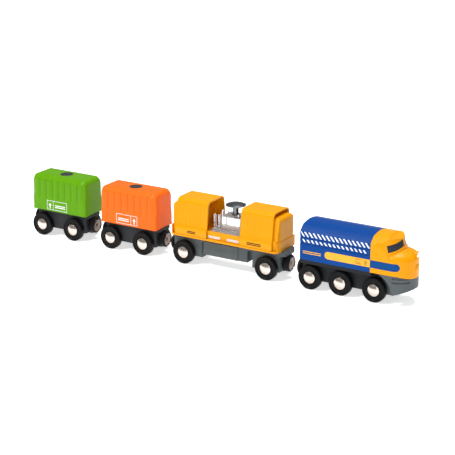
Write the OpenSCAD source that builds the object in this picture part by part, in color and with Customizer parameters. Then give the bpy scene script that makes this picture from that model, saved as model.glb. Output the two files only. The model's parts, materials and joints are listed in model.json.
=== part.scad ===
// Push-along wooden-railway freight train: a diesel locomotive, a wagon whose
// two hoods slide over a clear light-up load, and two container wagons.
// X runs towards the nose, Y across the track and Z up from the rail.

/* [Wheels] */
// Radius of every wheel
wheel_r = 10; // [9.6:0.1:10.2]
// Centre line to the outer face of a wheel
wheel_out = 15.4; // [15:0.1:15.8]
// Width of a wheel
wheel_w = 4.7; // [4.4:0.1:4.9]
// Radius of an axle
axle_r = 1.5; // [1.2:0.1:1.7]
// Radius of a domed hub cap
cap_r = 4.9; // [4:0.1:5]

/* [Train layout] */
// Front axle to the tip of the nose
nose_reach = 30.4; // [30:0.1:31]
// Front axle back to the middle of the light wagon
light_back = 135.8; // [135:0.1:140]
// Front axle back to the middle of the orange wagon
orange_back = 233; // [233:0.1:240]
// Front axle back to the middle of the green wagon
green_back = 306.4; // [306.4:0.1:320]
// Middle of a container wagon to its rear coupler face
rear_reach = 30.6; // [30.4:0.1:31]
// Half of a container wagon's wheelbase
short_base = 16.6; // [16.4:0.1:16.8]
// Half of the light wagon's wheelbase
long_base = 39.4; // [39:0.1:39.8]
// Front axle back to the locomotive's middle axle
loco_mid = 29.3; // [29:0.1:30]
// Front axle back to the locomotive's rear axle
loco_rear = 56.1; // [55.8:0.1:56.4]

/* [Chassis] */
// Half width of a chassis between its wheels
chassis_hw = 9.8; // [9.4:0.1:10]
// Lowest point of a chassis
chassis_z = 6.8; // [6.5:0.1:7.2]
// Wall of a moulded part
wall = 1.8; // [1.6:0.1:2]
// Height of a coupler's middle
coupler_z = 13; // [12.9:0.05:13.1]
// Radius of a coupler drum
drum_r = 7; // [6.6:0.1:7]
// Radius of a coupler magnet
magnet_r = 5.5; // [5:0.1:5.8]

/* [Containers] */
// Length of a container
cont_l = 57.2; // [56:0.1:57.6]
// Underside of a container
cont_z = 22.9; // [22.85:0.05:23.2]
// Top of a container
cont_top = 54.6; // [53.6:0.1:55.2]
// Half width over a container's ribs
cont_hw = 13.3; // [12.8:0.1:13.5]
// Ribs on each side of a container
cont_ribs = 8; // [6:1:9]

/* [Light wagon] */
// Half length of the yellow deck
deck_hl = 50.5; // [50:0.1:51]
// Half width of the deck and of the hood skirts
deck_hw = 16.4; // [16.2:0.1:16.6]
// Underside of the deck
deck_z = 24.5; // [24.4:0.1:24.6]
// Length of a sliding hood
hood_l = 29.9; // [29:0.1:30.2]
// Middle of the wagon to the inner end of an open hood
hood_in = 15.8; // [15.6:0.1:16]
// Top of a sliding hood
hood_top = 56.5; // [56:0.1:57]

/* [Locomotive] */
// Half width of the body and the cab
loco_hw = 16.4; // [16:0.1:16.4]
// Front axle back to the joint of the body and the cab
cab_back = 2.8; // [2.5:0.1:3]
// Front axle back to the end of the wooden body
body_back = 64.6; // [64:0.1:65]
// Underside of the body and the cab
body_z = 24.8; // [24.6:0.1:25]
// Top of the roof
roof_z = 54.6; // [54:0.1:55]
// Top of the short hood in front of the windscreen
bonnet_z = 44; // [43.5:0.1:44.5]

/* [Hidden] */
$fn = 64;

// overall length, and where each vehicle stands
overall_l = nose_reach + green_back + rear_reach;
x_loco = overall_l / 2 - nose_reach;
x_light = x_loco - light_back;
x_orange = x_loco - orange_back;
x_green = x_loco - green_back;

// clearances
run_gap = 0.05;   // round a shaft that turns
part_gap = 0.3;   // between parts that move apart
fit_gap = 0.02;   // round a pressed or glued piece
over = 1;         // how far a cut runs past a surface

// colours
plastic_grey = [0.27, 0.27, 0.28];
skirt_grey = [0.42, 0.45, 0.46];
plastic_black = [0.12, 0.12, 0.12];
steel = [0.86, 0.83, 0.81];
train_yellow = [0.99, 0.75, 0.1];
train_blue = [0.03, 0.28, 0.6];
glass_dark = [0.22, 0.25, 0.3];
clear = [0.9, 0.93, 0.95];

// coupler sizes
drum_l = 5.7;                    // length of a front drum
magnet_t = 1.6;                  // thickness of a magnet cup
magnet_proud = 0.6;              // how far a front magnet stands out
stub_r = 2.2;                    // shaft behind a front drum
front_wall_t = 3;                // chassis wall that carries the shaft
front_set = drum_l + magnet_proud + part_gap;  // magnet face back to that wall
rear_drum_l = 4;
pin_r = 1.55;                    // vertical pin that a rear drum swings on
eye_r = 3.4;
arm_z = coupler_z - 1;
arm_t = 3;
rear_inset = 6;                  // rear coupler face to the end of a wagon chassis
short_front = 33.6;              // middle of a container wagon to its front magnet face
long_front = 56.4;
long_rear = 56.9;
light_rear = x_light - long_rear;        // rear coupler face of each wagon
orange_rear = x_orange - rear_reach;
green_rear = x_green - rear_reach;
loco_face = 71.8;                // front axle back to the locomotive's coupler face
pin_in = 9.6;                    // coupler face to the pin on a wagon
loco_pin_in = 10.8;

// a closed outline mirrored across X = 0: half holds the points on the +X side
function both_sides(half) = concat(
  half,
  [for (i = [len(half) - 1:-1:0]) [-half[i][0], half[i][1]]]
);

// points along an arc
function arc(c, r, a0, a1, steps) = [
  for (i = [0:steps]) c + r * [cos(a0 + (a1 - a0) * i / steps), sin(a0 + (a1 - a0) * i / steps)]
];

// a box from its lowest and highest corners
module block(low, high) {
  translate(low) cube(high - low);
}

// a section drawn in Y and Z, drawn out from x0 to x1
module along_x(x0, x1) {
  translate([x0, 0, 0]) rotate([90, 0, 90]) linear_extrude(x1 - x0) children();
}

// a side view drawn in X and Z, drawn out across the track
module across(hw) {
  translate([0, hw, 0]) rotate([90, 0, 0]) linear_extrude(2 * hw) children();
}

// a bar along X, along Y, or a round bar across the track
module rod_x(x0, x1, r) {
  translate([x0, 0, 0]) rotate([0, 90, 0]) cylinder(r = r, h = x1 - x0);
}
module rod_y(hw, r) {
  rotate([90, 0, 0]) cylinder(r = r, h = 2 * hw, center = true);
}

// a rectangle with round corners, made of exact arcs
module round_rect(x0, x1, hw, r) {
  translate([x0 + r, -hw]) square([x1 - x0 - 2 * r, 2 * hw]);
  translate([x0, -hw + r]) square([x1 - x0, 2 * hw - 2 * r]);
  for (x = [x0 + r, x1 - r], y = [-hw + r, hw - r])
    translate([x, y]) circle(r);
}

// ---- wheelsets ----
hub_floor = wheel_out - 1.2;     // where the hub cap sits in the wheel
cap_edge = 1;                    // straight edge of a cap
cap_rise = 1.5;                  // height of its dome

module axle(x) {
  dome_r = (cap_r * cap_r + cap_rise * cap_rise) / (2 * cap_rise);
  color(steel)
  translate([x, 0, wheel_r]) {
    rod_y(hub_floor + cap_edge / 2, axle_r);
    for (side = [-1, 1])
      rotate([90 * side, 0, 0]) {
        translate([0, 0, hub_floor + fit_gap]) cylinder(r = cap_r, h = cap_edge);
        intersection() {
          translate([0, 0, hub_floor + cap_edge + cap_rise - dome_r]) sphere(dome_r);
          translate([0, 0, hub_floor + cap_edge / 2]) cylinder(r = cap_r, h = cap_edge + cap_rise);
        }
      }
  }
}

module wheels(x) {
  inner = wheel_out - wheel_w;
  color(plastic_black)
  translate([x, 0, wheel_r])
    for (side = [-1, 1])
      rotate([90 * side, 0, 0])
        rotate_extrude()
          polygon([
            [axle_r + fit_gap, inner], [5, inner], [5.4, inner + 0.9], [7.8, inner + 0.9],
            [8.2, inner], [wheel_r - 0.6, inner], [wheel_r, inner + 0.6],
            [wheel_r, wheel_out - 0.7], [wheel_r - 0.5, wheel_out], [8.7, wheel_out],
            [8.2, wheel_out - 0.5], [6.6, wheel_out - 0.5], [6.2, wheel_out - 0.2],
            [5.7, wheel_out - 0.2], [5.5, hub_floor], [axle_r + fit_gap, hub_floor]
          ]);
}

module axle_bores(list) {
  for (x = list)
    translate([x, 0, wheel_r]) rod_y(chassis_hw + over, axle_r + run_gap);
}

// ---- couplers ----
// front drum: turns on a snapped-in shaft; face is the magnet's face
module front_drum(face) {
  back = face - magnet_proud - drum_l;
  wall_in = face - front_set - front_wall_t;
  color(plastic_black)
  translate([0, 0, coupler_z])
    difference() {
      union() {
        translate([back, 0, 0]) rotate([0, 90, 0]) rotate_extrude()
          polygon([[0, 0], [drum_r - 0.8, 0], [drum_r, 0.8], [drum_r, drum_l - 0.8],
                   [drum_r - 0.8, drum_l], [0, drum_l]]);
        rod_x(wall_in - 0.5 - part_gap, back + 0.5, stub_r);
        rod_x(wall_in - 1.3 - part_gap, wall_in - part_gap, stub_r + 0.6);
      }
      rod_x(face - magnet_t, face + over, magnet_r + fit_gap);
    }
}

// magnet cup with a ring groove and a riveted centre, facing +X from face
module magnet_disc(face) {
  color(steel)
  translate([face - magnet_t, 0, coupler_z]) rotate([0, 90, 0]) rotate_extrude()
    polygon([[0, 0], [magnet_r, 0], [magnet_r, magnet_t - 0.3], [magnet_r - 0.3, magnet_t],
             [magnet_r - 1, magnet_t], [magnet_r - 1.2, magnet_t - 0.5], [2.2, magnet_t - 0.5],
             [2, magnet_t - 0.1], [1.2, magnet_t], [0, magnet_t]]);
}

// rear drum: swings on the chassis pin; face is its rearmost plane
module rear_drum(face, pin) {
  front = face + rear_drum_l;
  color(plastic_black)
  difference() {
    union() {
      translate([face, 0, coupler_z]) rotate([0, 90, 0]) rotate_extrude()
        polygon([[0, 0], [drum_r - 0.6, 0], [drum_r, 0.6], [drum_r, rear_drum_l - 2],
                 [drum_r - 2.5, rear_drum_l], [0, rear_drum_l]]);
      block([front - 0.5, -2.2, arm_z], [pin, 2.2, arm_z + arm_t]);
      translate([pin, 0, arm_z]) cylinder(r = eye_r, h = arm_t);
    }
    translate([pin, 0, arm_z - over]) cylinder(r = pin_r + run_gap, h = arm_t + 2 * over);
    translate([0, 0, coupler_z]) rod_x(face - over, face + magnet_t, magnet_r + fit_gap);
  }
}

module rear_magnet(face) {
  mirror([1, 0, 0]) magnet_disc(-face);
}

// the pin that a rear drum hangs on, with a head that keeps it there
module coupler_pin(pin, top) {
  translate([pin, 0, arm_z - part_gap]) cylinder(r = pin_r, h = top - arm_z + part_gap + 0.5);
  translate([pin, 0, arm_z - part_gap - 0.7]) cylinder(r = pin_r + 0.6, h = 0.7);
}

// room for the arm and the eye to swing in the rear end of a chassis
module arm_slot(end, pin) {
  block([end - over, -5.6, arm_z - 1.6], [pin + 4.5, 5.6, arm_z + arm_t + 0.5]);
}

// ---- container wagons ----
plate_z = 20.4;                  // underside of the plate over the couplers
short_top = cont_z - 0.15;
short_end = rear_reach - rear_inset;

module short_chassis(x) {
  nose = short_front - front_set;
  color(plastic_grey)
  translate([x, 0, 0])
    difference() {
      union() {
        block([-short_end, -chassis_hw, chassis_z], [nose, chassis_hw, plate_z + over]);
        translate([0, 0, plate_z]) linear_extrude(short_top - plate_z)
          polygon([[-short_end - 2, -7], [-short_end, -chassis_hw], [nose + 1, -chassis_hw],
                   [nose + 3.3, -7.2], [nose + 3.3, 7.2], [nose + 1, chassis_hw],
                   [-short_end, chassis_hw], [-short_end - 2, 7]]);
        translate([0, 0, short_top - over]) linear_extrude(3 + over) round_rect(-19, 20, 9, 2);
      }
      // moulded hollow, open below
      difference() {
        block([-short_end + wall, -chassis_hw + wall, chassis_z - over],
              [nose - front_wall_t, chassis_hw - wall, plate_z - wall]);
        coupler_pin(-rear_reach + pin_in, plate_z - wall);
        for (dx = [-4, 4])
          block([dx - 0.8, -chassis_hw, chassis_z + 1], [dx + 0.8, chassis_hw, plate_z]);
      }
      arm_slot_with_pin(-short_end, -rear_reach + pin_in);
      axle_bores([-short_base, short_base]);
      translate([0, 0, coupler_z]) rod_x(nose - front_wall_t - over, nose + over, stub_r + run_gap);
      // lower corners of the ends are eased
      for (y = [-chassis_hw, chassis_hw], end = [-short_end, nose])
        translate([end, y, 0]) rotate([0, 0, 45])
          translate([0, 0, plate_z / 2 - 0.2]) cube([2, 2, plate_z], center = true);
    }
}

module arm_slot_with_pin(end, pin) {
  difference() {
    arm_slot(end, pin);
    coupler_pin(pin, arm_z + arm_t + 1);
  }
}

cont_shift = 1.1;                // containers sit slightly forward
cont_base = cont_hw - 0.6;       // side face between the ribs
cont_bevel = 3.6;
cont_corner = 2;                 // radius of the upright edges

module container_blank(grow) {
  x0 = cont_shift - cont_l / 2 - grow;
  x1 = cont_shift + cont_l / 2 + grow;
  hw = cont_hw + grow;
  top = cont_top + grow;
  intersection() {
    along_x(x0, x1)
      polygon(both_sides([[hw, cont_z], [hw, top - cont_bevel - 0.6], [hw - cont_bevel, top]]));
    across(hw + over)
      polygon(concat(
        [[x0, cont_z], [x1, cont_z]],
        arc([x1 - 5, top - 5], 5, 0, 90, 10),
        arc([x0 + 5, top - 5], 5, 90, 180, 10)
      ));
  }
}

module container(x, tint) {
  x0 = cont_shift - cont_l / 2;
  x1 = cont_shift + cont_l / 2;
  pitch = (cont_l - 6) / (cont_ribs - 0.4);
  color(tint)
  translate([x, 0, 0])
    difference() {
      intersection() {
        container_blank(0);
        union() {
          translate([0, 0, cont_z]) linear_extrude(cont_top - cont_z) {
            round_rect(x0, x1, cont_base, cont_corner);
            for (i = [0:cont_ribs - 1], side = [-1, 1])
              translate([x0 + 5 + pitch * i, side * (cont_hw - 3.2)]) circle(3.2);
          }
          translate([0, 0, cont_z]) linear_extrude(2.4) round_rect(x0, x1, cont_hw, cont_corner);
        }
      }
      // hollow from below
      block([x0 + wall, -cont_base + wall, cont_z - over],
            [x1 - wall, cont_base - wall, cont_top - wall - 4]);
      block([x0 + 6, -cont_base + 5, cont_z], [x1 - 6, cont_base - 5, cont_top - wall - 0.8]);
      // seat of the lifting disc
      translate([cont_shift, 0, cont_top - 0.9]) cylinder(r = disc_r + fit_gap, h = 2);
    }
}

disc_r = 5.75;

module lifting_disc(x) {
  color([0.4, 0.4, 0.4])
  translate([x + cont_shift, 0, cont_top - 0.9]) cylinder(r = disc_r, h = 0.6);
}

// ---- light wagon ----
light_top = deck_z - 0.02;
light_end = long_rear - rear_inset;
box_x = [-22.2, 19.8];           // battery box
box_z = 10;
gap_x = 4.6;                     // recess between the box and a wheel section

module light_chassis() {
  nose = long_front - front_set;
  rear_in = box_x[0] - 1.4;
  front_in = box_x[1] + gap_x;
  color(skirt_grey)
  translate([x_light, 0, 0])
    difference() {
      union() {
        block([-light_end, -chassis_hw, chassis_z], [rear_in, chassis_hw, plate_z + over]);
        block([front_in, -chassis_hw, chassis_z], [nose, chassis_hw, plate_z + over]);
        block([box_x[0], -chassis_hw - 0.6, box_z], [box_x[1] - 9, chassis_hw + 0.6, plate_z + over]);
        block([box_x[0], -chassis_hw, box_z], [box_x[1], chassis_hw, plate_z + over]);
        block([rear_in - over, -6, 12], [front_in + over, 6, plate_z + over]);
        translate([0, 0, plate_z]) linear_extrude(light_top - plate_z)
          polygon([[-light_end - 2, -7], [-light_end, -chassis_hw], [nose + 1.6, -chassis_hw],
                   [nose + 4.4, -7.2], [nose + 4.4, 7.2], [nose + 1.6, chassis_hw],
                   [-light_end, chassis_hw], [-light_end - 2, 7]]);
      }
      // hollow of each wheel section, open below
      difference() {
        block([-light_end + wall, -chassis_hw + wall, chassis_z - over],
              [rear_in - wall, chassis_hw - wall, plate_z - wall]);
        coupler_pin(-long_rear + pin_in, plate_z - wall);
      }
      block([front_in + wall, -chassis_hw + wall, chassis_z - over],
            [nose - front_wall_t, chassis_hw - wall, plate_z - wall]);
      // battery compartment, closed by its door
      block([box_x[0] + wall, -8, box_z - over], [box_x[1] - wall, 8, plate_z - 0.6]);
      block([box_x[0] + 0.9, -8.9, box_z - over], [box_x[1] - 0.9, 8.9, box_z + door_t + fit_gap]);
      // way for the wires to the circuit board
      translate([0, 0, plate_z - over]) cylinder(r = 2, h = 6);
      arm_slot_with_pin(-light_end, -long_rear + pin_in);
      axle_bores([-long_base, long_base]);
      translate([0, 0, coupler_z]) rod_x(nose - front_wall_t - over, nose + over, stub_r + run_gap);
      for (sx = deck_screw_x)
        translate([sx, 0, 0]) {
          translate([0, 0, plate_z - 3]) cylinder(r = screw_r + fit_gap, h = 12);
          translate([0, 0, plate_z - wall - over]) cylinder(r = screw_head_r + fit_gap, h = over + 1);
        }
    }
}

door_t = 1.2;
screw_r = 1.3;
screw_head_r = 2.4;
deck_screw_x = [-32, 32];
door_screw_x = box_x[1] - 4;
door_tab = 0.25;

module light_battery_door() {
  color(skirt_grey)
  translate([x_light, 0, 0])
    difference() {
      union() {
        block([box_x[0] + 1, -8.8, box_z], [box_x[1] - 1, 8.8, box_z + door_t]);
        // boss that the screw clamps
        translate([door_screw_x, 0, box_z]) cylinder(r = 1.9 + fit_gap, h = door_t + 2);
      }
      translate([door_screw_x, 0, box_z - over]) cylinder(r = 1 + fit_gap, h = 8);
      translate([door_screw_x, 0, box_z - over]) cylinder(r = 1.7 + fit_gap, h = over + 0.6);
      // finger grooves
      for (i = [0:3])
        translate([box_x[0] + 4 + 1.6 * i, 0, box_z - 0.1]) cube([0.8, 9, 0.8], center = true);
    }
}

module light_battery_screw() {
  color(steel)
  translate([x_light + door_screw_x, 0, 0])
    difference() {
      union() {
        translate([0, 0, box_z]) cylinder(r = 1.7, h = 0.6);
        translate([0, 0, box_z]) cylinder(r = 1, h = 7);
      }
      translate([0, 0, box_z]) cube([2.4, 0.4, 0.5], center = true);
      translate([0, 0, box_z]) cube([0.4, 2.4, 0.5], center = true);
    }
}

cell_r = 5.8;
cell_t = 5.4;
cell_x = [-14.1, -2.3];

module light_button_cells() {
  color(steel)
  translate([x_light, 0, 0])
    for (x = cell_x) {
      translate([x, 0, box_z + door_t + 0.8]) cylinder(r = cell_r, h = cell_t - 0.6);
      translate([x, 0, box_z + door_t + cell_t + 0.2]) cylinder(r = cell_r - 1.2, h = 0.6);
    }
}

board_z = light_top + 0.9;
board_t = 1;

module light_circuit_board() {
  color("darkgreen")
  translate([x_light, 0, 0]) {
    block([-13, -8, board_z], [13, 8, board_z + board_t]);
    block([-12, -7, light_top], [-10, -5, board_z + 0.1]);
    block([10, 5, light_top], [12, 7, board_z + 0.1]);
    block([-12, 5, light_top], [-10, 7, board_z + 0.1]);
    block([10, -7, light_top], [12, -5, board_z + 0.1]);
  }
}

module light_leds() {
  color("white")
  translate([x_light, 0, 0])
    for (x = [-9, 0, 9])
      translate([x, 0, board_z + board_t]) {
        cylinder(r = 1.5, h = 0.6);
        translate([0, 0, 0.6]) cylinder(r1 = 1.2, r2 = 0.7, h = 0.7, $fn = 24);
      }
}

rail_hw = 14.4;                  // side rails between the hoods
rail_top = 32.4;
bay_hl = 28;                     // half length of the bay
bay_floor = 30.2;
flange_top = deck_z + 1.5;
block_top = 53;                  // top of a fixed end block

// outline of a hood section in Y and Z; in shrinks it evenly
function hood_side(in, low) = concat(
  [[deck_hw - in, low], [deck_hw - in, 32.8 + in * 0.3], [15 - in, 34 + in * 0.3]],
  arc([8.9, hood_top - 4], 4 - in, 5, 90, 8)
);

module hood_section(in, low) {
  polygon(both_sides(hood_side(in, low)));
}

// an end block follows the inside of its hood
function block_side(in) = concat(
  [[rail_hw - in, deck_z], [rail_hw - in, 33], [13.2 - in, 35]],
  arc([8.1, block_top - 4], 3.4 - in, 5, 90, 8)
);

module end_block_solid(in, x0, x1) {
  intersection() {
    along_x(x0, x1) polygon(both_sides(block_side(in)));
    across(deck_hw) polygon(concat(
      [[x0, deck_z - over], [x1, deck_z - over]],
      arc([x1 - 4, block_top - in - 4.6], 4, 0, 90, 8),
      [[x0, block_top - in - 0.6]]
    ));
    translate([0, 0, deck_z - over]) linear_extrude(block_top - deck_z + 2)
      round_rect(x0 - 8, x1, rail_hw, 4);
  }
}

module light_deck() {
  color(train_yellow)
  translate([x_light, 0, 0])
    difference() {
      union() {
        translate([0, 0, deck_z]) linear_extrude(flange_top - deck_z)
          round_rect(-deck_hl, deck_hl, deck_hw, 3);
        block([-bay_hl - over, -rail_hw, deck_z], [bay_hl + over, rail_hw, rail_top]);
        for (end = [0, 1])
          mirror([end, 0, 0]) {
            end_block_solid(0, bay_hl, deck_hl);
            // foot that carries the hood's shape round the end
            difference() {
              translate([0, 0, deck_z]) linear_extrude(8.3) round_rect(30, deck_hl + 0.5, deck_hw, 4);
              block([0, -deck_hw - over, flange_top], [hood_stop, deck_hw + over, 40]);
            }
          }
      }
      // the bay, with rails left on both sides
      block([-bay_hl, -rail_hw + wall, bay_floor], [bay_hl, rail_hw - wall, 60]);
      // hollow below the floor for the circuit board
      block([-16, -12, deck_z - over], [16, 12, bay_floor - 1.4]);
      // opening under the load that lets the light up
      block([-12, -8, bay_floor - 3], [12, 8, bay_floor + over]);
      // hollow end blocks, open below
      for (end = [0, 1])
        mirror([end, 0, 0])
          difference() {
            end_block_solid(wall, bay_hl + wall, deck_hl - wall);
            translate([deck_screw_x[1], 0, deck_z]) cylinder(r = 3, h = 12);
          }
      for (sx = deck_screw_x)
        translate([sx, 0, deck_z - over]) cylinder(r = screw_r + fit_gap, h = 9);
      // slots of the side lights
      for (x = window_x, side = [-1, 1])
        translate([x - window_l / 2, side * (rail_hw - 1.5) - 2.5, window_z])
          cube([window_l, 5, window_h]);
    }
}

hood_stop = deck_hl - 0.9;
window_x = [-9.4, 8.3];
window_l = 11.6;
window_h = 2.4;
window_z = 26.7;

module light_side_windows() {
  color(clear)
  translate([x_light, 0, 0])
    for (x = window_x, side = [-1, 1])
      translate([x, side * (rail_hw - 1.3), window_z + window_h / 2])
        cube([window_l - 0.04, 2.2, window_h - 0.04], center = true);
}

module light_deck_screws() {
  color(steel)
  for (sx = deck_screw_x)
    translate([x_light + sx, 0, plate_z - wall]) {
      cylinder(r = screw_r, h = 11);
      cylinder(r = screw_head_r, h = 1);
    }
}

hood_wall = 1.2;
hood_low = flange_top + part_gap;
hood_ribs = 8;

module hood(side) {
  pitch = (hood_l - 4) / hood_ribs;
  color(train_yellow)
  translate([x_light, 0, 0])
    mirror([side, 0, 0])
      difference() {
        union() {
          along_x(hood_in, hood_in + hood_l) hood_section(0, hood_low);
          for (i = [0:hood_ribs - 1])
            intersection() {
              along_x(hood_in + 2.7 + pitch * i, hood_in + 4.4 + pitch * i)
                hood_section(-0.25, hood_low);
              block([0, -20, 35], [60, 20, hood_top]);
            }
        }
        along_x(hood_in - over, hood_in + hood_l + over) hood_section(hood_wall, hood_low - over);
      }
}

load_z = bay_floor + 0.15;
load_tube_l = 10.5;

module light_load() {
  color(clear)
  translate([x_light, 0, 0]) {
    // stepped base
    translate([0, 0, load_z]) linear_extrude(2.2) round_rect(-15.2, 15.2, 11.8, 1);
    translate([0, 0, load_z + 2]) linear_extrude(2) round_rect(-14, 14, 10, 1);
    // big block
    translate([0, 0, load_z + 3.8]) linear_extrude(11) round_rect(-6.2, 12, 8, 1.2);
    // round-topped tubes
    for (x = [-12.8, -8.6], y = [-6.4, 6.4])
      translate([x, y, load_z + 3.8]) {
        cylinder(r = 1.3, h = load_tube_l);
        translate([0, 0, load_tube_l]) sphere(1.3);
      }
    // handle beside the stem
    translate([8.8, 0, load_z + 14.6]) rotate([90, 0, 0])
      intersection() {
        difference() {
          cylinder(r = 3, h = 4, center = true);
          cylinder(r = 1.8, h = 6, center = true);
        }
        translate([0, 5, 0]) cube([10, 10, 6], center = true);
      }
  }
}

cap_top = 56.4;
cap_x = 3;
load_cap_r = 8.5;
load_cap_dome = 20;              // radius of the cap's shallow dome

module light_load_cap() {
  low = load_z + 14.8 + fit_gap;
  color([0.35, 0.37, 0.38])
  translate([x_light + cap_x, 0, 0]) {
    translate([0, 0, low]) cylinder(r = 2.4, h = cap_top - low - 1);
    intersection() {
      translate([0, 0, cap_top - load_cap_dome]) sphere(load_cap_dome);
      translate([0, 0, cap_top - 2.4]) cylinder(r = load_cap_r, h = 3);
    }
  }
}

// ---- locomotive ----
nose_c = 13.4;                   // centre of the round nose, ahead of the front axle
nose_r = 16.4;
seam_dip = 3.4;                  // how far the cab reaches down over the nose
screen_c = 2.2;                  // centre of the curved windscreen
bonnet_arc = 28;                 // radius across the top of the short hood
bonnet_edge = 5.4;               // radius of its edge
glass_gap = 0.6;                 // how far the glass lies under the frame
loco_end = body_back;
pin_loco = -loco_face + loco_pin_in;
loco_screw_x = [-52, -14, 8];

// region above the seam of the cab and the skirt, side view
module above_seam(lift) {
  across(20)
    polygon([[-90, body_z + lift], [nose_c + 6, body_z + lift],
             [nose_c + 18, body_z - seam_dip + lift], [nose_c + 18, 70], [-90, 70]]);
}

// plan of the nose, from x0 forward
module nose_plan(x0, in) {
  translate([nose_c, 0]) circle(nose_r - in);
  translate([x0, -loco_hw + in]) square([nose_c - x0, 2 * (loco_hw - in)]);
}

module loco_chassis() {
  color(skirt_grey)
  translate([x_loco, 0, 0])
    difference() {
      union() {
        block([-loco_end, -chassis_hw, chassis_z], [14, chassis_hw, body_z - 0.02]);
        block([-loco_end, -loco_hw + 2.2, 21], [-cab_back, loco_hw - 2.2, body_z - 0.02]);
        // skirt round the nose
        difference() {
          translate([0, 0, chassis_z]) linear_extrude(body_z - chassis_z) nose_plan(-cab_back, 0);
          above_seam(-0.1);
          translate([0, 0, chassis_z]) linear_extrude(30) nose_plan(-30, skirt_t);
          // wheel arch
          translate([arch_x, 0, arch_z]) rod_y(20, arch_r);
          block([-30, -20, 0], [arch_x, 20, arch_z + arch_r - 0.4]);
          // the lower edge rises towards the tip
          across(20) polygon([[0, 0], [0, 9], [nose_c + 3, 9], [nose_c + 18, 13.8], [nose_c + 18, 0]]);
        }
        // floor that ties the skirt to the frame
        intersection() {
          translate([0, 0, 16]) linear_extrude(2) nose_plan(12, 1);
          block([12.4, -20, 0], [40, 20, 30]);
        }
      }
      // moulded hollow, open below
      difference() {
        block([-loco_end + wall, -chassis_hw + wall, chassis_z - over],
              [12, chassis_hw - wall, body_z - 2.4]);
        coupler_pin(pin_loco, body_z - 2);
        for (x = loco_screw_x)
          translate([x, 0, chassis_z + 6]) cylinder(r = 3.4, h = 20);
        for (x = [-43, -34, -20, 4])
          block([x, -chassis_hw, chassis_z + 1], [x + 1.5, chassis_hw, body_z]);
      }
      arm_slot_with_pin(-loco_end, pin_loco);
      axle_bores([0, -loco_mid, -loco_rear]);
      for (x = loco_screw_x)
        translate([x, 0, 0]) {
          translate([0, 0, chassis_z]) cylinder(r = screw_r + fit_gap, h = 30);
          cylinder(r = screw_head_r + fit_gap, h = loco_head_z + 1.2);
        }
      // two long slots on each side of the skirt
      for (z = [19, 22.2], side = [-1, 1])
        skirt_slot(z, side);
    }
}

skirt_t = 2.2;
arch_x = -1;
arch_z = 8;
arch_r = 17;
loco_head_z = chassis_z + 8.6;

// a shallow slot with round ends that follows the skirt
module skirt_slot(z, side) {
  intersection() {
    difference() {
      translate([0, 0, z]) linear_extrude(1.4) nose_plan(-10, -1);
      translate([0, 0, z - over]) linear_extrude(4) nose_plan(-11, 0.6);
    }
    across(20) {
      translate([16.5, z]) square([10.2, 1.4]);
      for (x = [16.5, 26.7]) translate([x, z + 0.7]) circle(0.7);
    }
    translate([0, side * 12, 0]) cube([80, 20, 80], center = true);
  }
}

// section of the wooden body in Y and Z
function body_side(in) = concat(
  [[loco_hw - in, body_z], [loco_hw - in, 48.2 - in * 0.4]],
  [[11.4 - in * 0.4, 53 - in]],
  [[5, roof_z - 0.4 - in], [0, roof_z - in]]
);

module body_section(in) {
  polygon(concat(body_side(in), [for (i = [len(body_side(in)) - 2:-1:0])
    [-body_side(in)[i][0], body_side(in)[i][1]]]));
}

groove_z = [38.3, 43.2];

module loco_body() {
  color(train_blue)
  translate([x_loco, 0, 0])
    difference() {
      along_x(-body_back, -cab_back - 0.05) body_section(0);
      // grooves along the sides
      for (z = groove_z, side = [-1, 1])
        translate([-body_back - over, side * loco_hw - 0.6, z - 0.5]) cube([body_back, 1.2, 1]);
      // eased rear edges
      for (side = [-1, 1])
        translate([-body_back, side * loco_hw, 0]) rotate([0, 0, 45])
          translate([0, 0, 40]) cube([1.4, 1.4, 40], center = true);
      for (x = loco_screw_x)
        translate([x, 0, body_z - over]) cylinder(r = screw_r + fit_gap, h = loco_screw_l);
    }
}

loco_screw_l = 9;

// outline of the nose in radius and height
function nose_side(in) = concat(
  [[0, body_z - 6], [nose_r - in, body_z - 6]],
  arc([nose_r - bonnet_edge, bonnet_mid], bonnet_edge - in, 0, bonnet_angle, 8),
  [for (i = [5:-1:0]) bonnet_point(i / 6, bonnet_arc - in)]
);
bonnet_reach = nose_r - bonnet_edge;
bonnet_mid = bonnet_z - bonnet_arc + sqrt(pow(bonnet_arc - bonnet_edge, 2) - pow(bonnet_reach, 2));
bonnet_angle = atan2(bonnet_mid - bonnet_z + bonnet_arc, bonnet_reach);
function bonnet_point(t, r) = [
  r * sin((90 - bonnet_angle) * t),
  bonnet_z - bonnet_arc + r * cos((90 - bonnet_angle) * t)
];

// the low front of the cab: turned round the nose, drawn out behind it
module bonnet_solid(in) {
  intersection() {
    translate([nose_c, 0, 0]) rotate_extrude() polygon(nose_side(in));
    block([-cab_back + in, -20, 0], [40, 20, 60]);
  }
  along_x(-cab_back + in, nose_c) {
    polygon(nose_side(in));
    mirror([1, 0]) polygon(nose_side(in));
  }
}

// leaning round windscreen, and the cab behind it
module screen_solid(in) {
  translate([screen_c, 0, 35]) cylinder(r1 = 20.2 - in, r2 = 13.2 - in, h = 21);
  block([-cab_back + in, -20, 30], [screen_c, 20, 60]);
}

module cab_upper(in) {
  intersection() {
    along_x(-cab_back + in, 30) body_section(in);
    union() {
      screen_solid(in);
      // the roof reaches out over the glass
      translate([screen_c, 0, 0]) intersection() {
        cylinder(r = 14.6 - in, h = 60);
        block([0, -20, 51.3], [20, 20, 60]);
      }
    }
    across(20)
      polygon([[-cab_back, 30], [30, 30], [30, 51.8 - in], [17, 52 - in], [10.6, 52.9 - in],
               [8.6, 54.2 - in], [-cab_back, roof_z - in]]);
  }
}

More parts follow.
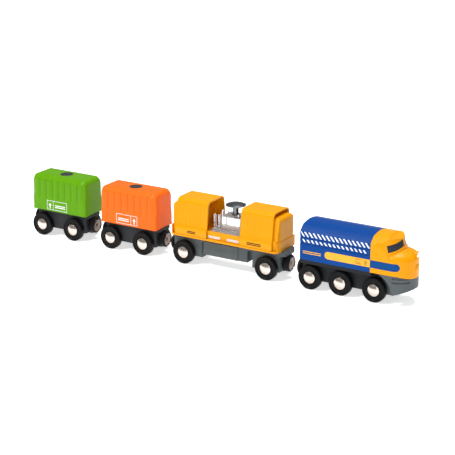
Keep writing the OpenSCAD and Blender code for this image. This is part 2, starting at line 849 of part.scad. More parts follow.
// one pane's outline seen from the front, as a band that drops towards the side
module pane_band(side, trim) {
  near = 0.9 + trim;
  along_x(screen_c, 35)
    polygon([[side * near, 45.9 + trim], [side * (15 - trim), 42.4 + trim],
             [side * (14 - trim), 47.8 - trim], [side * near, 51.3 - trim]]);
}

lamp_z = 40.2;
lamp_r = 2.9;
lower_lamp_z = 29.6;

module loco_cab() {
  color(train_yellow)
  translate([x_loco, 0, 0])
    difference() {
      union() {
        intersection() {
          union() {
            bonnet_solid(0);
            cab_upper(0);
          }
          above_seam(0);
        }
        // bezel of the lamp, and the round boss below it
        translate([nose_c + nose_r - 2.6, 0, lamp_z]) rod_x(0, 2.7, lamp_r);
        translate([nose_c + nose_r - 2.6, 0, lower_lamp_z]) rod_x(0, 2.9, 3.1);
        translate([nose_c + nose_r + 0.25, 0, lower_lamp_z]) rotate([0, 90, 0])
          cylinder(r1 = 2.9, r2 = 2.2, h = 0.35);
      }
      // hollow, open below
      intersection() {
        union() {
          bonnet_solid(wall + 0.4);
          cab_upper(wall + 0.6);
        }
        translate([0, 0, body_z - 6]) linear_extrude(60) nose_plan(-cab_back + wall, wall + 0.3);
      }
      // seats of the two panes
      for (side = [-1, 1])
        intersection() {
          pane_band(side, 0);
          difference() {
            translate([screen_c, 0, 38]) cylinder(r1 = 20.2, r2 = 14.2, h = 18);
            translate([screen_c, 0, 38]) cylinder(r1 = 18, r2 = 12, h = 18);
          }
        }
      translate([nose_c + nose_r - 3, 0, lamp_z]) rod_x(2, 6, lamp_r - 0.7);
    }
}

module loco_windows() {
  color(glass_dark)
  translate([x_loco, 0, 0])
    for (side = [-1, 1])
      intersection() {
        pane_band(side, 0.04);
        difference() {
          translate([screen_c, 0, 38]) cylinder(r1 = 19.2 - glass_gap, r2 = 13.2 - glass_gap, h = 18);
          translate([screen_c, 0, 38]) cylinder(r1 = 18.02, r2 = 12.02, h = 18);
        }
      }
}

module loco_headlight() {
  color("white")
  translate([x_loco + nose_c + nose_r - 3, 0, lamp_z])
    intersection() {
      translate([-1.6, 0, 0]) sphere(5.2);
      rod_x(2.02, 6, lamp_r - 0.72);
    }
}

module loco_screws() {
  color(steel)
  translate([x_loco, 0, 0])
    for (x = loco_screw_x)
      translate([x, 0, loco_head_z]) {
        cylinder(r = screw_r, h = body_z - loco_head_z + (x > 0 ? -2 : loco_screw_l - 2));
        cylinder(r = screw_head_r, h = 1.2);
      }
}

// ---- every node ----
loco_chassis();
loco_body();
loco_cab();
loco_windows();
loco_headlight();
loco_screws();
axle(x_loco);  // loco_axle_front
axle(x_loco - loco_mid);  // loco_axle_middle
axle(x_loco - loco_rear);  // loco_axle_rear
wheels(x_loco);  // loco_wheels_front
wheels(x_loco - loco_mid);  // loco_wheels_middle
wheels(x_loco - loco_rear);  // loco_wheels_rear
rear_drum(x_loco - loco_face, x_loco + pin_loco);  // loco_rear_drum
rear_magnet(x_loco - loco_face);  // loco_rear_magnet

light_chassis();
light_battery_door();
light_battery_screw();
light_button_cells();
light_circuit_board();
light_leds();
light_deck();
light_side_windows();
light_deck_screws();
hood(0);  // light_hood_front
hood(1);  // light_hood_rear
light_load();
light_load_cap();
axle(x_light + long_base);  // light_axle_front
axle(x_light - long_base);  // light_axle_rear
wheels(x_light + long_base);  // light_wheels_front
wheels(x_light - long_base);  // light_wheels_rear
front_drum(x_light + long_front);  // light_front_drum
magnet_disc(x_light + long_front);  // light_front_magnet
rear_drum(light_rear, light_rear + pin_in);  // light_rear_drum
rear_magnet(light_rear);  // light_rear_magnet

short_chassis(x_orange);  // orange_chassis
container(x_orange, [0.98, 0.5, 0.17]);  // orange_container
lifting_disc(x_orange);  // orange_disc
axle(x_orange + short_base);  // orange_axle_front
axle(x_orange - short_base);  // orange_axle_rear
wheels(x_orange + short_base);  // orange_wheels_front
wheels(x_orange - short_base);  // orange_wheels_rear
front_drum(x_orange + short_front);  // orange_front_drum
magnet_disc(x_orange + short_front);  // orange_front_magnet
rear_drum(orange_rear, orange_rear + pin_in);  // orange_rear_drum
rear_magnet(orange_rear);  // orange_rear_magnet

short_chassis(x_green);  // green_chassis
container(x_green, [0.47, 0.71, 0.06]);  // green_container
lifting_disc(x_green);  // green_disc
axle(x_green + short_base);  // green_axle_front
axle(x_green - short_base);  // green_axle_rear
wheels(x_green + short_base);  // green_wheels_front
wheels(x_green - short_base);  // green_wheels_rear
front_drum(x_green + short_front);  // green_front_drum
magnet_disc(x_green + short_front);  // green_front_magnet
rear_drum(green_rear, green_rear + pin_in);  // green_rear_drum
rear_magnet(green_rear);  // green_rear_magnet
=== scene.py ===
"""Looks of the push-along freight train: materials, moulded shells, painted wood and printed marks."""
import json
import math

import bmesh
import bpy
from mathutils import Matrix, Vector
from mathutils.bvhtree import BVHTree


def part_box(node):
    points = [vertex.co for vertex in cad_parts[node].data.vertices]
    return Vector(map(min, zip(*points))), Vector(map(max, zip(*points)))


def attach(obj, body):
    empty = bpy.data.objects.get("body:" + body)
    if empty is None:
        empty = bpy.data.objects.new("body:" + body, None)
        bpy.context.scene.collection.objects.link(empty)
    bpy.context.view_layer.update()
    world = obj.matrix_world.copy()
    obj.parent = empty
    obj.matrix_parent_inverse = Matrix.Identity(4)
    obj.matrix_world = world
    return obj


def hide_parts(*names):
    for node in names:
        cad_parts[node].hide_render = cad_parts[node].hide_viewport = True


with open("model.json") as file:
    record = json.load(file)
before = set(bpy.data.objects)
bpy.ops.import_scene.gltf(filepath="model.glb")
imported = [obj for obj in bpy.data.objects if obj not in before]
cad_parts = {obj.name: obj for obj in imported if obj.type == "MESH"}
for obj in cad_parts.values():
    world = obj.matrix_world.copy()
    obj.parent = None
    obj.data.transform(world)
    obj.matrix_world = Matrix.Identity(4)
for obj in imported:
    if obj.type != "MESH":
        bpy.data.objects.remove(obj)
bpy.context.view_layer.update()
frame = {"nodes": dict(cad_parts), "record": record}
nodes = frame["nodes"]
MM = 0.001


# ---- the camera ----
CAMERA_YAW = 31.15        # degrees round from straight across the track
CAMERA_PITCH = 18.124     # degrees down
CAMERA_PLACE = (0.6037, -0.9782, 0.4074)
SENSOR = 36.0
LENS = 115.36

camera_data = bpy.data.cameras.new("camera")
camera_data.sensor_width = SENSOR
camera_data.lens = LENS
camera = bpy.data.objects.new("camera", camera_data)
camera.location = CAMERA_PLACE
camera.rotation_euler = (math.radians(90 - CAMERA_PITCH), 0, math.radians(CAMERA_YAW))
bpy.context.scene.collection.objects.link(camera)
bpy.context.scene.camera = camera


# ---- materials ----
def linear(colour):
    """An 8-bit screen colour as the linear values that a shader takes."""
    parts = [c / 255 for c in colour]
    return tuple(c / 12.92 if c <= 0.04045 else ((c + 0.055) / 1.055) ** 2.4 for c in parts) + (1.0,)


def scaled(colour, factor):
    return tuple(min(1.0, c * factor) for c in colour[:3]) + (1.0,)


def noise_stops(low, high):
    """Ramp stops over the middle of a noise, which seldom goes beyond it."""
    return [(0.3, low), (0.7, high)]


class Shader:
    """A material with a Principled shader, and short ways to add nodes."""

    def __init__(self, name):
        self.material = bpy.data.materials.new(name)
        self.material.use_nodes = True
        self.tree = self.material.node_tree
        self.main = self.tree.nodes["Principled BSDF"]

    def add(self, kind, **settings):
        made = self.tree.nodes.new("ShaderNode" + kind)
        for key, value in settings.items():
            if key in made.inputs:
                made.inputs[key].default_value = value
            else:
                setattr(made, key, value)
        return made

    def link(self, source, target):
        self.tree.links.new(source, target)

    def place(self, stretch=(1, 1, 1)):
        """Object coordinates in metres, stretched."""
        coordinates = self.add("TexCoord")
        mapping = self.add("Mapping")
        mapping.inputs["Scale"].default_value = stretch
        self.link(coordinates.outputs["Object"], mapping.inputs["Vector"])
        return mapping.outputs["Vector"]

    def noise(self, scale, detail=3.0, stretch=(1, 1, 1)):
        made = self.add("TexNoise", Scale=scale, Detail=detail)
        self.link(self.place(stretch), made.inputs["Vector"])
        return made.outputs["Fac"]

    def ramp(self, factor, stops):
        made = self.add("ValToRGB")
        made.color_ramp.elements[0].position = stops[0][0]
        made.color_ramp.elements[0].color = stops[0][1]
        made.color_ramp.elements[1].position = stops[-1][0]
        made.color_ramp.elements[1].color = stops[-1][1]
        self.link(factor, made.inputs["Fac"])
        return made.outputs["Color"]

    def colour_between(self, factor, low, high):
        self.link(self.ramp(factor, noise_stops(low, high)), self.main.inputs["Base Color"])

    def roughness_between(self, factor, low, high):
        spread = self.add("MapRange")
        spread.inputs["To Min"].default_value = low
        spread.inputs["To Max"].default_value = high
        self.link(factor, spread.inputs["Value"])
        self.link(spread.outputs["Result"], self.main.inputs["Roughness"])

    def bump(self, height, strength, distance=0.0001, edge=0.0):
        """Fine relief; edge rounds the look of a sharp corner by that radius."""
        made = self.add("Bump", Strength=strength, Distance=distance)
        self.link(height, made.inputs["Height"])
        if edge:
            corner = self.add("Bevel", Radius=edge)
            corner.samples = 4
            self.link(corner.outputs["Normal"], made.inputs["Normal"])
        self.link(made.outputs["Normal"], self.main.inputs["Normal"])


PLASTIC_SHINE = 0.1       # kept low, since everything round the train is white
PAINT_SHINE = 0.1


def plastic(name, colour, rough=0.35, grain=0.12, edge=0.00035, spread=0.05, coat=0.0):
    """Moulded plastic: slight colour drift, uneven gloss and a fine moulded grain."""
    shader = Shader(name)
    base = linear(colour)
    shader.colour_between(shader.noise(90, 4), scaled(base, 1 - spread), scaled(base, 1 + spread))
    shader.roughness_between(shader.noise(260, 5), rough - 0.06, rough + 0.08)
    shader.bump(shader.noise(3200, 3), grain, 0.00003, edge)
    shader.main.inputs["Specular IOR Level"].default_value = PLASTIC_SHINE
    shader.main.inputs["Coat Weight"].default_value = coat
    shader.main.inputs["Coat Roughness"].default_value = 0.12
    return shader.material


def metal(name, colour, rough, stretch=(1, 1, 1), grain=0.1):
    """Plated steel with fine scratches."""
    shader = Shader(name)
    base = linear(colour)
    shader.main.inputs["Metallic"].default_value = 1.0
    shader.colour_between(shader.noise(300, 4), scaled(base, 0.92), scaled(base, 1.05))
    shader.roughness_between(shader.noise(900, 4, stretch), rough - 0.05, rough + 0.1)
    shader.bump(shader.noise(2500, 2, stretch), grain, 0.00002, 0.0002)
    return shader.material


def painted_wood(name, colour):
    """Glossy paint over close-grained beech: the grain shows faintly through it."""
    shader = Shader(name)
    base = linear(colour)
    shader.colour_between(shader.noise(120, 5, (0.25, 1, 1)), scaled(base, 0.93), scaled(base, 1.08))
    shader.roughness_between(shader.noise(350, 4, (0.3, 1, 1)), 0.3, 0.44)
    shader.bump(shader.noise(1100, 5, (0.08, 1, 1)), 0.16, 0.00005, 0.0003)
    shader.main.inputs["Specular IOR Level"].default_value = PAINT_SHINE
    return shader.material


def clear_plastic(name, tint, rough, frost):
    """Clear moulded plastic, with frost as the share of light that scatters."""
    shader = Shader(name)
    shader.colour_between(shader.noise(150, 3), scaled(linear(tint), 0.97), linear(tint))
    shader.main.inputs["Transmission Weight"].default_value = 1 - frost
    shader.main.inputs["IOR"].default_value = 1.49
    shader.roughness_between(shader.noise(400, 3), rough * 0.7, rough * 1.3)
    shader.bump(shader.noise(700, 3), 0.08, 0.00005, 0.0004)
    return shader.material


YELLOW = (231, 152, 2)
SKIRT = (84, 91, 93)
# painted shade: the skirt's grey as it looks in the shade between the wheels
SKIRT_PAINTED_SHADE = (32, 34, 36)
BLUE = (1, 64, 138)
materials = {
    "wheel_black": plastic("wheel_black", (17, 17, 18), 0.36, 0.1, 0.0003),
    "hub_metal": metal("hub_metal", (212, 199, 190), 0.22),
    "wagon_grey": plastic("wagon_grey", (50, 51, 54), 0.45, 0.3, 0.0004),
    "skirt_grey": plastic("skirt_grey", SKIRT, 0.45, 0.3, 0.0004),
    "drum_black": plastic("drum_black", (24, 24, 26), 0.4, 0.15),
    "magnet_steel": metal("magnet_steel", (112, 100, 94), 0.22),
    "train_blue": painted_wood("train_blue", BLUE),
    "train_yellow": plastic("train_yellow", YELLOW, 0.33, 0.1, 0.0004, 0.03, 0.04),
    "window_dark": plastic("window_dark", (52, 58, 68), 0.16, 0.03),
    "lens_white": plastic("lens_white", (245, 243, 232), 0.15, 0.03),
    "screw_steel": metal("screw_steel", (190, 190, 190), 0.3),
    "cell_steel": metal("cell_steel", (205, 205, 205), 0.22),
    "board_green": plastic("board_green", (20, 105, 55), 0.3, 0.2),
    "led_white": plastic("led_white", (250, 246, 225), 0.2, 0.03),
    "clear_plastic": clear_plastic("clear_plastic", (240, 245, 250), 0.1, 0.22),
    "window_clear": clear_plastic("window_clear", (250, 246, 240), 0.3, 0.7),
    "cap_gunmetal": metal("cap_gunmetal", (112, 118, 122), 0.26),
    "container_orange": plastic("container_orange", (235, 104, 22), 0.36, 0.1, 0.0004, 0.03, 0.04),
    "container_green": plastic("container_green", (90, 151, 1), 0.36, 0.1, 0.0004, 0.03, 0.04),
    "disc_grey": metal("disc_grey", (92, 92, 92), 0.34),
}
print_white = plastic("print_white", (246, 247, 248), 0.4, 0.08)
print_yellow = plastic("print_yellow", (240, 176, 60), 0.4, 0.08)
print_black = plastic("print_black", (40, 34, 22), 0.4, 0.08)
print_blue = plastic("print_blue", (3, 68, 132), 0.36, 0.08)
print_brown = plastic("print_brown", (150, 104, 50), 0.45, 0.08)


SKIRT_SHINE = 0.14


def grey_with_painted_shade(name, colour, shade_colour, change):
    """Grey moulded plastic with painted shade behind change, in metres along X: there it is drawn near
    black for the shade between the wheels.
    """
    shader = Shader(name)
    grain = shader.noise(90, 4)
    split = shader.add("SeparateXYZ")
    shader.link(shader.place(), split.inputs["Vector"])
    step = shader.add("MapRange")
    step.inputs["From Min"].default_value = change - MM
    step.inputs["From Max"].default_value = change + MM
    shader.link(split.outputs["X"], step.inputs["Value"])
    mix = shader.add("Mix", data_type="RGBA")
    shader.link(step.outputs["Result"], mix.inputs[0])
    base = linear(colour)
    # painted shade behind change, the moulding's own grey in front of it
    shader.link(shader.ramp(grain, noise_stops(linear(shade_colour), scaled(linear(shade_colour), 1.2))), mix.inputs[6])
    shader.link(shader.ramp(grain, noise_stops(scaled(base, 0.95), scaled(base, 1.05))), mix.inputs[7])
    shader.link(mix.outputs[2], shader.main.inputs["Base Color"])
    shader.roughness_between(shader.noise(260, 5), 0.39, 0.53)
    shader.bump(shader.noise(3200, 3), 0.3, 0.00003, 0.0004)
    shader.main.inputs["Specular IOR Level"].default_value = SKIRT_SHINE
    return shader.material


slots = {part["node"]: part["material_slot"] for part in frame["record"]["subparts"]}


def paint(piece, material):
    piece.data.materials.clear()
    piece.data.materials.append(material)


for node_name, node_object in nodes.items():
    paint(node_object, materials[slots[node_name]])
FRONT_ARCH = 0.1585       # the front wheel arch, along X
# painted shade: the chassis side behind the front wheel arch is drawn near black, for the shade that
# falls between the wheels
paint(nodes["loco_chassis"], grey_with_painted_shade("loco_skirt", SKIRT, SKIRT_PAINTED_SHADE, FRONT_ARCH))


# ---- mesh tools ----
def millimetres(node):
    """A node's box as (lowest, highest) in millimetres."""
    low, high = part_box(node)
    return [v / MM for v in low], [v / MM for v in high]


def rounded(points, radius, steps=3):
    """An open outline with each inner corner turned into a short curve."""
    out = [points[0]]
    for before, corner, after in zip(points, points[1:], points[2:]):
        a, b, c = Vector(before), Vector(corner), Vector(after)
        reach = min(radius, (a - b).length * 0.45, (c - b).length * 0.45)
        start = b + (a - b).normalized() * reach
        end = b + (c - b).normalized() * reach
        for i in range(steps + 1):
            t = i / steps
            out.append(tuple(start * (1 - t) ** 2 + b * 2 * t * (1 - t) + end * t * t))
    out.append(points[-1])
    return out


def both_sides(half):
    """An outline from the -Y foot over the top to the +Y foot; half runs up the +Y side to Y = 0."""
    return [(-y, z) for y, z in half[:-1]] + [half[-1]] + [(y, z) for y, z in reversed(half[:-1])]


def new_piece(name, mesh, body, slot, replaced=()):
    piece = bpy.data.objects.new(name, mesh)
    bpy.context.scene.collection.objects.link(piece)
    paint(piece, materials[slot])
    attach(piece, body)
    if replaced:
        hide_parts(*replaced)
    return piece


def loft(name, stations, outline, caps=(True, True), closed=False):
    """A skin through outline(x) at each station, in millimetres; caps close its two ends."""
    mesh = bpy.data.meshes.new(name)
    build = bmesh.new()
    rows = []
    for x in stations:
        rows.append([build.verts.new((x * MM, y * MM, z * MM)) for y, z in outline(x)])
    for here, there in zip(rows, rows[1:]):
        count = len(here)
        for i in range(count if closed else count - 1):
            j = (i + 1) % count
            build.faces.new((here[i], here[j], there[j], there[i]))
    if caps[0]:
        build.faces.new(list(reversed(rows[0])))
    if caps[1]:
        build.faces.new(rows[-1])
    bmesh.ops.recalc_face_normals(build, faces=build.faces)
    build.to_mesh(mesh)
    build.free()
    mesh.shade_smooth()
    mesh.set_sharp_from_angle(angle=math.radians(32))
    return mesh


def thicken(piece, wall):
    shell = piece.modifiers.new("wall", "SOLIDIFY")
    shell.thickness = wall * MM
    shell.offset = -1
    shell.use_even_offset = True


def spaced(start, end, step):
    count = max(1, round((end - start) / step))
    return [start + (end - start) * i / count for i in range(count + 1)]


def ends_packed(x0, x1, radius, step):
    """Stations along X, packed close where the ends curve."""
    curve = [radius * (1 - math.cos(math.radians(a))) for a in (0, 10, 20, 32, 45, 60, 75, 90)]
    return [x0 + c for c in curve] + spaced(x0 + radius, x1 - radius, step)[1:-1] \
        + [x1 - c for c in reversed(curve)]


def inset(x, x0, x1, radius):
    """How far a surface lies in where an end of that radius curves away."""
    depth = min(x - x0, x1 - x)
    if depth >= radius:
        return 0.0
    return radius - math.sqrt(max(0.0, radius ** 2 - (radius - depth) ** 2))


# ---- containers ----
RIB_PITCH = 6.74
RIB_DEPTH = 1.15
RIB_BREADTH = 0.55         # below 1 the ribs are broad and the grooves between them narrow
FOOT_SHARE = 0.3           # depth of the grooves low down, where the label is, as a share
END_PLAIN = 2.2            # the ribs start this far from an end
RIB_START = 1.5            # and take this long to reach their full depth
LIP_HEIGHT = 1.0
LIP_SLOPE = 0.7
LABEL_TOP = 10.2           # the ribs are shallow up to here
RIB_RISE = 5               # and take this long to deepen above it
SIDE_ROUND = 2.0
TOP_ROUND = 4.6
BEVEL = 3.6                # across the sloping edge of the top
BEVEL_FALL = 1.12          # its height as a share of that
SCALLOP = 1.1              # how much higher the sloping edge ends over a groove
LEDGE_SHARE = 0.6          # how far the top's edge follows the rounded ends
CROWN_DIP = 0.12
CROWN_RISE = 0.05
CORNER_ROUND = 0.55
CONTAINER_WALL = 1.4
CONTAINER_STEP = 0.42      # between stations along X
DISC_SIDES = 64


def container(colour):
    node = colour + "_container"
    (x0, _, foot), (x1, half_width, top) = millimetres(node)
    middle = (x0 + x1) / 2

    def outline(x):
        rib = abs(math.cos(math.pi * (x - middle - RIB_PITCH / 2) / RIB_PITCH)) ** RIB_BREADTH
        flat = min(1.0, max(0.0, (min(x - x0, x1 - x) - END_PLAIN) / RIB_START))
        side_in = inset(x, x0, x1, SIDE_ROUND)
        top_in = inset(x, x0, x1, TOP_ROUND)
        lip = half_width - side_in
        groove = RIB_DEPTH * (1 - rib * flat)
        wall = lip - groove
        low_wall = lip - groove * FOOT_SHARE
        crown = top - top_in - CROWN_DIP * (1 - rib) * flat
        ledge = half_width - BEVEL - side_in * LEDGE_SHARE
        slope_foot = top - top_in - BEVEL * BEVEL_FALL + groove * SCALLOP
        return both_sides(rounded([
            (lip, foot), (lip, foot + LIP_HEIGHT), (low_wall, foot + LIP_HEIGHT + LIP_SLOPE),
            (low_wall, foot + LABEL_TOP), (wall, foot + LABEL_TOP + RIB_RISE), (wall, slope_foot),
            (ledge, crown), (0, crown + CROWN_RISE),
        ], CORNER_ROUND))

    mesh = loft(node + "_shell", ends_packed(x0, x1, TOP_ROUND, CONTAINER_STEP), outline)
    shell = new_piece(node + "_shell", mesh, node, "container_" + colour, (node,))
    thicken(shell, CONTAINER_WALL)
    lifting_disc(colour, top)
    return shell


def lifting_disc(colour, top):
    """The steel disc, set in a shallow ring in the top of a container."""
    node = colour + "_disc"
    (x0, _, low), (x1, radius, _) = millimetres(node)
    middle = (x0 + x1) / 2
    # up the rim, over its bead and down to the plate: inwards from the rim, and up from the top
    bead = [(0, 0.02), (0.3, 0.14), (0.55, 0.1), (0.8, 0.06), (radius, 0.08)]
    profile = [(0, low), (radius, low)] + [(radius - inwards, top + up) for inwards, up in bead]
    mesh = bpy.data.meshes.new(node + "_plate")
    build = bmesh.new()
    rings = []
    for r, z in profile:
        if r == 0:
            rings.append([build.verts.new((middle * MM, 0, z * MM))])
            continue
        rings.append([build.verts.new(((middle + r * math.cos(a)) * MM, r * math.sin(a) * MM, z * MM))
                      for a in (math.tau * i / DISC_SIDES for i in range(DISC_SIDES))])
    for here, there in zip(rings, rings[1:]):
        for i in range(DISC_SIDES):
            j = (i + 1) % DISC_SIDES
            near = [here[k % len(here)] for k in (i, j)]
            far = [there[k % len(there)] for k in (j, i)]
            build.faces.new(list(dict.fromkeys(near + far)))
    bmesh.ops.recalc_face_normals(build, faces=build.faces)
    build.to_mesh(mesh)
    build.free()
    mesh.shade_smooth()
    mesh.set_sharp_from_angle(angle=math.radians(32))
    new_piece(node + "_plate", mesh, colour + "_container", "disc_grey", (node,))


shells = {colour: container(colour) for colour in ("orange", "green")}


# ---- sliding hoods of the light wagon ----
HOOD_RIB_PITCH = 3.35
HOOD_RIB_DEPTH = 0.24
HOOD_RIB_FIRST = 2.2       # end of a hood to the middle of its first rib
HOOD_PLAIN = 1.6           # plain rim at an end
HOOD_FADE = 0.8
HOOD_ROUND = 4             # radius of the roof's edges
HOOD_EDGE = 8.9            # half width to the centre of that round
HOOD_CORNER = 0.6
HOOD_WALL = 1.2
HOOD_STEP = 0.4            # between stations along X
SKIRT_TOP = 32.6           # heights up the side of a hood
SHOULDER = 34.2
SIDE_LOW = 35.4
SIDE_HIGH = 50.4
EAVES = 52.6


def hood(node, body):
    (x0, _, foot), (x1, half_width, top) = millimetres(node)

    def outline(x):
        rib = max(0.0, math.cos(math.tau * (x - x0 - HOOD_RIB_FIRST) / HOOD_RIB_PITCH)) ** 0.5
        margin = min(1.0, max(0.0, (min(x - x0, x1 - x) - HOOD_PLAIN) / HOOD_FADE))
        relief = HOOD_RIB_DEPTH * (1 - rib) * margin
        half = [(half_width, foot), (half_width - 0.1, SKIRT_TOP), (15.1, SHOULDER)]
        half += [(15.0 - relief, SIDE_LOW), (13.25 - relief, SIDE_HIGH), (12.9, EAVES)]
        half += [(HOOD_EDGE + HOOD_ROUND * math.cos(math.radians(a)),
                  top - HOOD_ROUND + HOOD_ROUND * math.sin(math.radians(a)))
                 for a in (18, 36, 54, 72, 90)]
        half += [(6, top - relief * 0.5), (0, top - relief * 0.5)]
        return both_sides(rounded(half, HOOD_CORNER, 2))

    mesh = loft(node + "_shell", spaced(x0, x1, HOOD_STEP), outline, caps=(False, False))
    shell = new_piece(node + "_shell", mesh, body, "train_yellow", (node,))
    thicken(shell, HOOD_WALL)
    return shell


front_hood = hood("light_hood_front", "front_hood")
rear_hood = hood("light_hood_rear", "rear_hood")


# ---- wooden body ----
GROOVE_HEIGHTS = (38.3, 43.2)
GROOVE_HALF = 0.55         # half width at the surface
GROOVE_FLOOR = 0.4         # half width at its floor
GROOVE_DEPTH = 0.6
END_EASE = 0.9             # radius of the rear edges
SEAM_MARGIN = 5            # keeps the front end, which the cab covers, square
ROOF_FOOT = 48.2           # top of the straight sides
ROOF_SHOULDER = (11.4, 53)
PAINT_ROUND = 0.45


def wooden_body():
    (x0, _, foot), (x1, half_width, top) = millimetres("loco_body")

    def outline(x):
        ease = inset(x, x0, x1 + SEAM_MARGIN, END_EASE)
        side = half_width - ease
        half = [(side, foot)]
        for z in GROOVE_HEIGHTS:
            half += [(side, z - GROOVE_HALF), (side - GROOVE_DEPTH, z - GROOVE_FLOOR)]
            half += [(side - GROOVE_DEPTH, z + GROOVE_FLOOR), (side, z + GROOVE_HALF)]
        half += [(side, ROOF_FOOT - ease * 0.5)]
        half += [(ROOF_SHOULDER[0] - ease, ROOF_SHOULDER[1] - ease * 0.8)]
        half += [(5, top - 0.4 - ease), (0, top - ease)]
        return both_sides(rounded(half, PAINT_ROUND))

    stations = [x0 + step for step in (0, 0.1, 0.3, 0.6, 0.9)] + spaced(x0 + 1.5, x1, 4)
    mesh = loft("loco_body_wood", stations, outline, closed=True)
    return new_piece("loco_body_wood", mesh, "loco", "train_blue", ("loco_body",))


wood = wooden_body()


# ---- printed marks, laid on the surface that they are printed on ----
PRINT_LIFT = 0.05
PRINT_STEP = 0.35


def surface_of(piece):
    """A search tree over a piece's mesh."""
    mesh = piece.data
    corners = [v.co.copy() for v in mesh.vertices]
    return BVHTree.FromPolygons(corners, [tuple(p.vertices) for p in mesh.polygons])


class Print:
    """Marks on one piece's two sides, drawn as columns in X with heights in Z."""

    def __init__(self, name, piece, body, slot, material):
        self.name, self.body, self.slot, self.material = name, body, slot, material
        self.tree = surface_of(piece)
        self.build = bmesh.new()

    def vertex(self, x, z, side):
        start = Vector((x * MM, side * 0.03, z * MM))
        hit, normal, _, _ = self.tree.ray_cast(start, Vector((0, -side, 0)))
        if hit is None:
            hit, normal, _, _ = self.tree.find_nearest(start)
        return self.build.verts.new(hit + Vector((0, side, 0)) * PRINT_LIFT * MM)

    def columns(self, stations, low, high, sides=(-1, 1), lean=0.0, rows=1):
        """A patch between low(x) and high(x); lean shifts its top along X."""
        for side in sides:
            before = None
            for x in stations:
                z0, z1 = low(x), high(x)
                here = []
                for r in range(rows + 1):
                    t = r / rows
                    here.append(self.vertex(x + lean * (t - 0.5), z0 + (z1 - z0) * t, side))
                if before:
                    for r in range(rows):
                        corners = (before[r], here[r], here[r + 1], before[r + 1])
                        self.build.faces.new(corners if side < 0 else tuple(reversed(corners)))
                before = here

    def bar(self, x0, x1, z0, z1, sides=(-1, 1), lean=0.0, step=PRINT_STEP):
        self.columns(spaced(x0, x1, step), lambda x: z0, lambda x: z1, sides, lean)

    def frame(self, x0, x1, z0, z1, line, sides=(-1, 1)):
        """A thin rectangle."""
        self.bar(x0, x1, z1 - line, z1, sides)
        self.bar(x0, x1, z0, z0 + line, sides)
        self.bar(x0, x0 + line, z0 + line, z1 - line, sides)
        self.bar(x1 - line, x1, z0 + line, z1 - line, sides)

    def done(self):
        mesh = bpy.data.meshes.new(self.name)
        self.build.to_mesh(mesh)
        self.build.free()
        piece = new_piece(self.name, mesh, self.body, self.slot)
        paint(piece, self.material)
        film = piece.modifiers.new("film", "SOLIDIFY")
        film.thickness = PRINT_LIFT * MM
        film.offset = 0
        return piece


def round_end(x, tip, radius, centre, sign):
    """Height above or below centre where a band of that radius ends round at tip."""
    depth = min(abs(x - tip), radius)
    return centre + sign * math.sqrt(max(0.0, radius ** 2 - (radius - depth) ** 2))


(body_x0, _, _), (seam_x, _, _) = millimetres("loco_body")
BAND_LOW, BAND_HIGH = 28.8, 35.0
band_middle = (BAND_LOW + BAND_HIGH) / 2
band_half = (BAND_HIGH - BAND_LOW) / 2
BODY_BAND_START = 22.4     # rear end of the body to the yellow band's round end
CAB_BAND_LENGTH = 24.3     # joint of body and cab to the blue band's round end


STRIPE_COUNT = 16
STRIPE_START = 1.75        # rear end of the body to the first stripe
STRIPE_PITCH = 3.78
STRIPE_WIDTH = 1.5
STRIPE_LEAN = -3.1         # top of a stripe from its foot, along X
STRIPE_STEP = 0.9
UPPER_STRIPES = (44.1, 48.0)
LOWER_STRIPES = (39.5, 41.9)
LOWER_LEAN = 0.6           # the lower stripes are shorter, so they lean less
LOWER_SHIFT = 1.6


def loco_stripes():
    """Slanted white stripes in two bands, either side of the upper groove."""
    marks = Print("loco_body_stripes", wood, "loco", "lens_white", print_white)
    first = body_x0 + STRIPE_START
    for i in range(STRIPE_COUNT):
        x = first + STRIPE_PITCH * i
        marks.bar(x, x + STRIPE_WIDTH, *UPPER_STRIPES, lean=STRIPE_LEAN, step=STRIPE_STEP)
        if i < STRIPE_COUNT - 1:
            x += LOWER_SHIFT
            lean = STRIPE_LEAN * LOWER_LEAN
            marks.bar(x, x + STRIPE_WIDTH, *LOWER_STRIPES, lean=lean, step=STRIPE_STEP)
    marks.done()


def loco_bands():
    tip = body_x0 + BODY_BAND_START
    marks = Print("loco_body_band", wood, "loco", "train_yellow", print_yellow)
    ends = [tip + 0.01 + band_half * (1 - math.cos(math.radians(a))) for a in range(0, 91, 10)]
    stations = ends + spaced(ends[-1] + 0.5, seam_x - 0.1, 3)
    marks.columns(stations, lambda x: round_end(x, tip, band_half, band_middle, -1),
                  lambda x: round_end(x, tip, band_half, band_middle, 1))
    marks.done()

    tip = seam_x + CAB_BAND_LENGTH
    marks = Print("loco_cab_band", nodes["loco_cab"], "loco", "train_blue", print_blue)
    ends = [tip - 0.01 - band_half * (1 - math.cos(math.radians(a))) for a in range(90, -1, -10)]
    stations = spaced(seam_x + 0.15, ends[0] - 0.3, 0.6) + ends
    marks.columns(stations, lambda x: round_end(x, tip, band_half, band_middle, -1),
                  lambda x: round_end(x, tip, band_half, band_middle, 1))
    marks.done()

    # a panel outline and a louvre near the joint, and plain bars elsewhere
    marks = Print("loco_panel_marks", wood, "loco", "cap_gunmetal", print_brown)
    marks.frame(seam_x - 12.2, seam_x - 7.2, 29.9, 34.0, 0.45)
    marks.bar(seam_x - 10.9, seam_x - 8.5, 31.2, 31.7)
    for i in range(4):
        marks.bar(seam_x - 5.2, seam_x - 2.6, 30.0 + i * 1.05, 30.5 + i * 1.05)
    marks.done()
    marks = Print("loco_side_bars", wood, "loco", "train_yellow", print_yellow)
    marks.bar(body_x0 + 3.2, body_x0 + 19.2, 30.2, 30.9)
    marks.bar(body_x0 + 3.2, body_x0 + 19.2, 31.7, 32.4)
    marks.done()


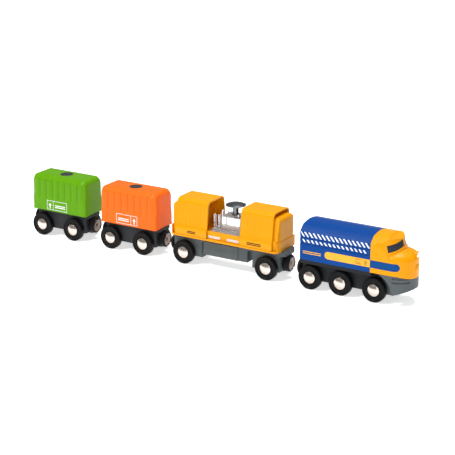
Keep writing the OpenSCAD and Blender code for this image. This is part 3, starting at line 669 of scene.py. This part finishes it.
def container_label(colour, arrow_left):
    """A printed outline of two boxes, with an arrow in one and a plain bar in the other."""
    node = colour + "_container"
    (x0, _, foot), (x1, _, _) = millimetres(node)
    marks = Print(colour + "_label", shells[colour], node, "lens_white", print_white)
    left = x0 + (16.0 if arrow_left else 16.8)
    width, line, arrow_w = 21.6, 0.4, 6.6
    z0 = foot + 1.3
    z1 = z0 + 8.4
    sides = (-1, 1)
    marks.frame(left, left + width, z0, z1, line, sides)
    arrow_x = left if arrow_left else left + width - arrow_w
    divide = left + arrow_w if arrow_left else left + width - arrow_w
    marks.bar(divide - line / 2, divide + line / 2, z0 + line, z1 - line, sides)
    middle = arrow_x + arrow_w / 2
    marks.bar(middle - 0.5, middle + 0.5, z0 + 1.1, z0 + 3.9, sides)
    head = spaced(middle - 1.7, middle + 1.7, 0.3)
    marks.columns(head, lambda x: z0 + 3.9, lambda x: z0 + 3.95 + (1.7 - abs(x - middle)) * 1.25, sides)
    bar_x = divide + 2 if arrow_left else left + 2
    for row in (2.4, 4.0):
        marks.bar(bar_x, bar_x + width - arrow_w - 4, z0 + row, z0 + row + 0.8, sides)
    marks.done()


def hood_marks():
    """Plain dark bars low on the sides of the light wagon's hoods."""
    for end, shell, left, length in (("front", front_hood, 7.0, 13.0), ("rear", rear_hood, 11.5, 7.8)):
        (x0, _, _), _ = millimetres("light_hood_" + end)
        marks = Print(end + "_hood_marks", shell, end + "_hood", "wheel_black", print_black)
        for low in (28.2, 29.5):
            marks.bar(x0 + left, x0 + left + length, low, low + 0.7)
        marks.done()


loco_stripes()
loco_bands()
hood_marks()
container_label("green", True)
container_label("orange", False)


# ---- floor and light ----
def area_light(name, place, target, size, power, colour=(1, 1, 1)):
    data = bpy.data.lights.new(name, "AREA")
    data.shape = "DISK"
    data.size = size
    data.energy = power
    data.color = colour
    lamp = bpy.data.objects.new(name, data)
    lamp.location = place
    aim = Vector(target) - Vector(place)
    lamp.rotation_euler = aim.to_track_quat("-Z", "Y").to_euler()
    bpy.context.scene.collection.objects.link(lamp)
    return lamp


floor_mesh = bpy.data.meshes.new("floor")
FLOOR_HALF = 6.0
floor_mesh.from_pydata(
    [(x * FLOOR_HALF, y * FLOOR_HALF, 0) for x, y in ((-1, -1), (1, -1), (1, 1), (-1, 1))],
    [], [(0, 1, 2, 3)],
)
floor = bpy.data.objects.new("floor", floor_mesh)
bpy.context.scene.collection.objects.link(floor)
floor_shader = Shader("floor")
floor_shader.colour_between(floor_shader.noise(3, 2), (0.93, 0.93, 0.93, 1), (0.95, 0.95, 0.95, 1))
floor_shader.main.inputs["Roughness"].default_value = 0.9
floor_shader.main.inputs["Emission Color"].default_value = (1, 1, 1, 1)
floor_shader.main.inputs["Emission Strength"].default_value = 0.6
floor_mesh.materials.append(floor_shader.material)

world = bpy.data.worlds.new("studio")
world.use_nodes = True
world.node_tree.nodes["Background"].inputs["Color"].default_value = (1, 1, 1, 1)
world.node_tree.nodes["Background"].inputs["Strength"].default_value = 0.3
bpy.context.scene.world = world
bpy.context.scene.view_settings.view_transform = "Standard"

area_light("key", (-0.5, -0.9, 1.5), (0, 0, 0.03), 0.4, 17)
area_light("fill", (0.9, -1.2, 0.5), (0.05, 0, 0.03), 0.8, 3)
area_light("top", (0.1, 0.3, 1.6), (0, 0, 0.03), 0.7, 21)
